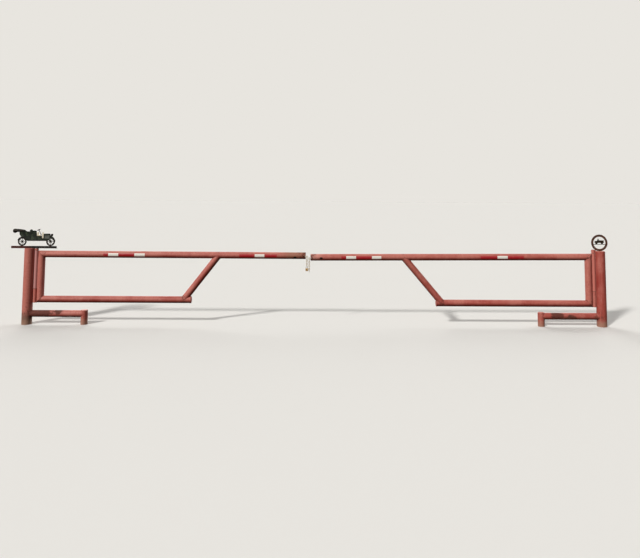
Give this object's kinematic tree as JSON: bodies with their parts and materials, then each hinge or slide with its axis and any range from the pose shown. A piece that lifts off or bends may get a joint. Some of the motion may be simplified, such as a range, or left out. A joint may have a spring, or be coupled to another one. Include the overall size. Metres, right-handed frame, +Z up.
{
  "type": "double-leaf pipe swing gate",
  "caption": "Farm road gate of welded round pipe: long-armed leaves on pin hinges beside pipe posts with toe braces, chained in the middle, a cut-steel ornament on each post.",
  "frame": {"origin": "foot of the left post at ground level, on the post's axis", "axes": "+X along the closed gate to the right post, +Y through the gateway away from the front, +Z up"},
  "size_m": [10.3833, 0.1682, 1.6201],
  "materials": {
    "red_paint": "faded satin with rust at the welds",
    "worn_steel": "worn bare steel",
    "galvanised_chain": "dull galvanised",
    "shackle_steel": "polished",
    "lock_brass": "brushed",
    "dark_iron": "matt black, rust bloom",
    "car_green": "dark green, weathered",
    "ring_brown": "rusted brown"
  },
  "bodies": {
    "posts": {"left_post": "red_paint", "right_post": "red_paint", "post_caps": "red_paint", "left_toe_brace": "red_paint", "right_toe_brace": "red_paint", "toe_stubs": "red_paint", "toe_stub_caps": "red_paint", "lower_knuckles": "red_paint", "upper_knuckles": "red_paint", "post_strips": "red_paint", "thrust_washers": "worn_steel", "hinge_pins": "worn_steel", "car_base_bar": "dark_iron", "car_wheels": "dark_iron", "car_body": "car_green", "ring_band": "ring_brown", "ring_truck": "dark_iron"},
    "left_leaf": {"left_stile": "red_paint", "left_top_rail": "red_paint", "left_bottom_rail": "red_paint", "left_bottom_rail_cap": "red_paint", "left_diagonal": "red_paint", "left_hinge_sleeve": "red_paint", "left_leaf_strip": "red_paint", "left_chain": "galvanised_chain", "padlock_shackle": "shackle_steel", "padlock_body": "lock_brass"},
    "right_leaf": {"right_stile": "red_paint", "right_top_rail": "red_paint", "right_bottom_rail": "red_paint", "right_bottom_rail_cap": "red_paint", "right_diagonal": "red_paint", "right_hinge_sleeve": "red_paint", "right_leaf_strip": "red_paint", "right_chain": "galvanised_chain"}
  },
  "joints": [
    {"name": "left_leaf_swing", "type": "hinge", "parent": "posts", "child": "left_leaf", "pos_m": [0.1223, 0, 0.6], "axis": [0, 0, 1], "range_deg": [-90, 90]},
    {"name": "right_leaf_swing", "type": "hinge", "parent": "posts", "child": "right_leaf", "pos_m": [9.8, 0, 0.6], "axis": [0, 0, -1], "range_deg": [-90, 90]}
  ]
}
